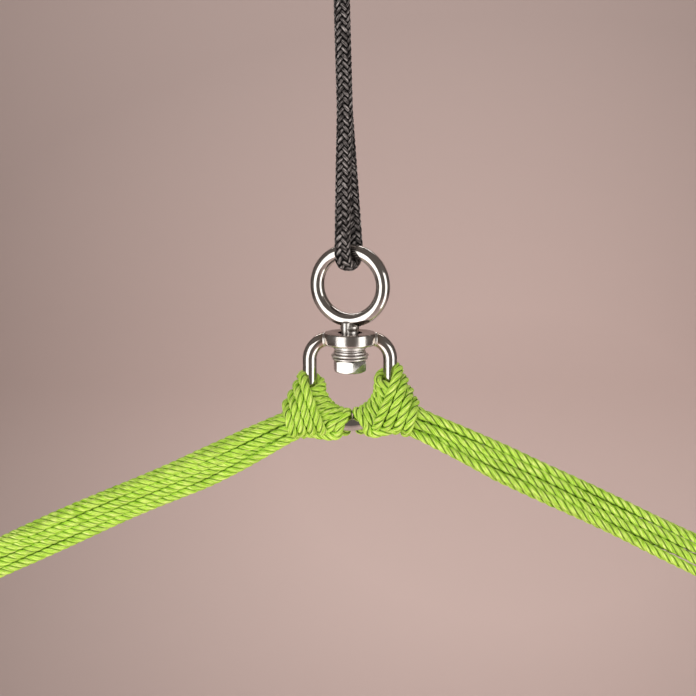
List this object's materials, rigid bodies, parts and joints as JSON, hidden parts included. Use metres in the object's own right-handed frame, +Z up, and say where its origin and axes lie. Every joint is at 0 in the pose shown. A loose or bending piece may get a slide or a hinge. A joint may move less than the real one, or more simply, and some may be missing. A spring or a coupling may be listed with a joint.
{
  "type": "hammock suspension swivel",
  "caption": "Hammock suspension: black rope sling on a ceiling eye, stainless ring-and-bow swivel, and two green twisted-cord bundles hitched to the bow.",
  "frame": {"origin": "centre of the ceiling plate's top face, where it meets the ceiling or beam", "axes": "+Z up, out of the plate's mounting face; +X towards the right-hand cord bundle; +Y away from the viewer"},
  "size_m": [0.5187, 0.0312, 0.4222],
  "materials": {
    "steel": "polished stainless steel",
    "black_rope": "matt braided rope",
    "lime_cord": "twisted cord with a soft sheen"
  },
  "bodies": {
    "ceiling_fitting": {"ceiling_plate": "steel", "ceiling_eye": "steel"},
    "sling": {"hanging_rope": "black_rope", "rope_ferrule": "steel"},
    "swivel_top": {"top_ring": "steel", "swivel_bolt": "steel", "ring_weld": "steel", "lower_race": "steel", "flat_washer": "steel", "spring_washer": "steel"},
    "bearing_cage": {"ball_cage": "steel"},
    "swivel_bow": {"collar": "steel", "lower_bow": "steel", "left_weld": "steel", "right_weld": "steel", "upper_race": "steel"},
    "left_bundle": {"left_hitch": "lime_cord", "left_cord_1a": "lime_cord", "left_cord_1b": "lime_cord", "left_cord_2a": "lime_cord", "left_cord_2b": "lime_cord", "left_cord_3a": "lime_cord", "left_cord_3b": "lime_cord", "left_cord_4a": "lime_cord", "left_cord_4b": "lime_cord", "left_bight_1": "lime_cord", "left_bight_2": "lime_cord", "left_bight_3": "lime_cord", "left_bight_4": "lime_cord", "left_whipping": "lime_cord"},
    "right_bundle": {"right_hitch": "lime_cord", "right_cord_1a": "lime_cord", "right_cord_1b": "lime_cord", "right_cord_2a": "lime_cord", "right_cord_2b": "lime_cord", "right_cord_3a": "lime_cord", "right_cord_3b": "lime_cord", "right_cord_4a": "lime_cord", "right_cord_4b": "lime_cord", "right_bight_1": "lime_cord", "right_bight_2": "lime_cord", "right_bight_3": "lime_cord", "right_bight_4": "lime_cord", "right_whipping": "lime_cord"}
  },
  "joints": [
    {"name": "sling_swing", "type": "hinge", "parent": "ceiling_fitting", "child": "sling", "pos_m": [0, 0, -0.036], "axis": [1, 0, 0], "range_deg": [-20, 20]},
    {"name": "ring_tilt", "type": "hinge", "parent": "sling", "child": "swivel_top", "pos_m": [0, 0, -0.2107], "axis": [0.342, 0.9397, 0], "range_deg": [-8, 8]},
    {"name": "swivel_spin", "type": "hinge", "parent": "swivel_top", "child": "swivel_bow", "pos_m": [0, 0, -0.262], "axis": [0, 0, 1], "continuous": true},
    {"name": "cage_spin", "type": "hinge", "parent": "swivel_top", "child": "bearing_cage", "pos_m": [0, 0, -0.262], "axis": [0, 0, 1], "continuous": true},
    {"name": "left_slide", "type": "hinge", "parent": "swivel_bow", "child": "left_bundle", "pos_m": [0, 0, -0.2877], "axis": [0, 1, 0], "range_deg": [0, 5]},
    {"name": "right_slide", "type": "hinge", "parent": "swivel_bow", "child": "right_bundle", "pos_m": [0, 0, -0.2877], "axis": [0, -1, 0], "range_deg": [0, 5]}
  ],
  "couplings": [
    {"joint": "cage_spin", "follows": "swivel_spin", "ratio": 0.5}
  ]
}
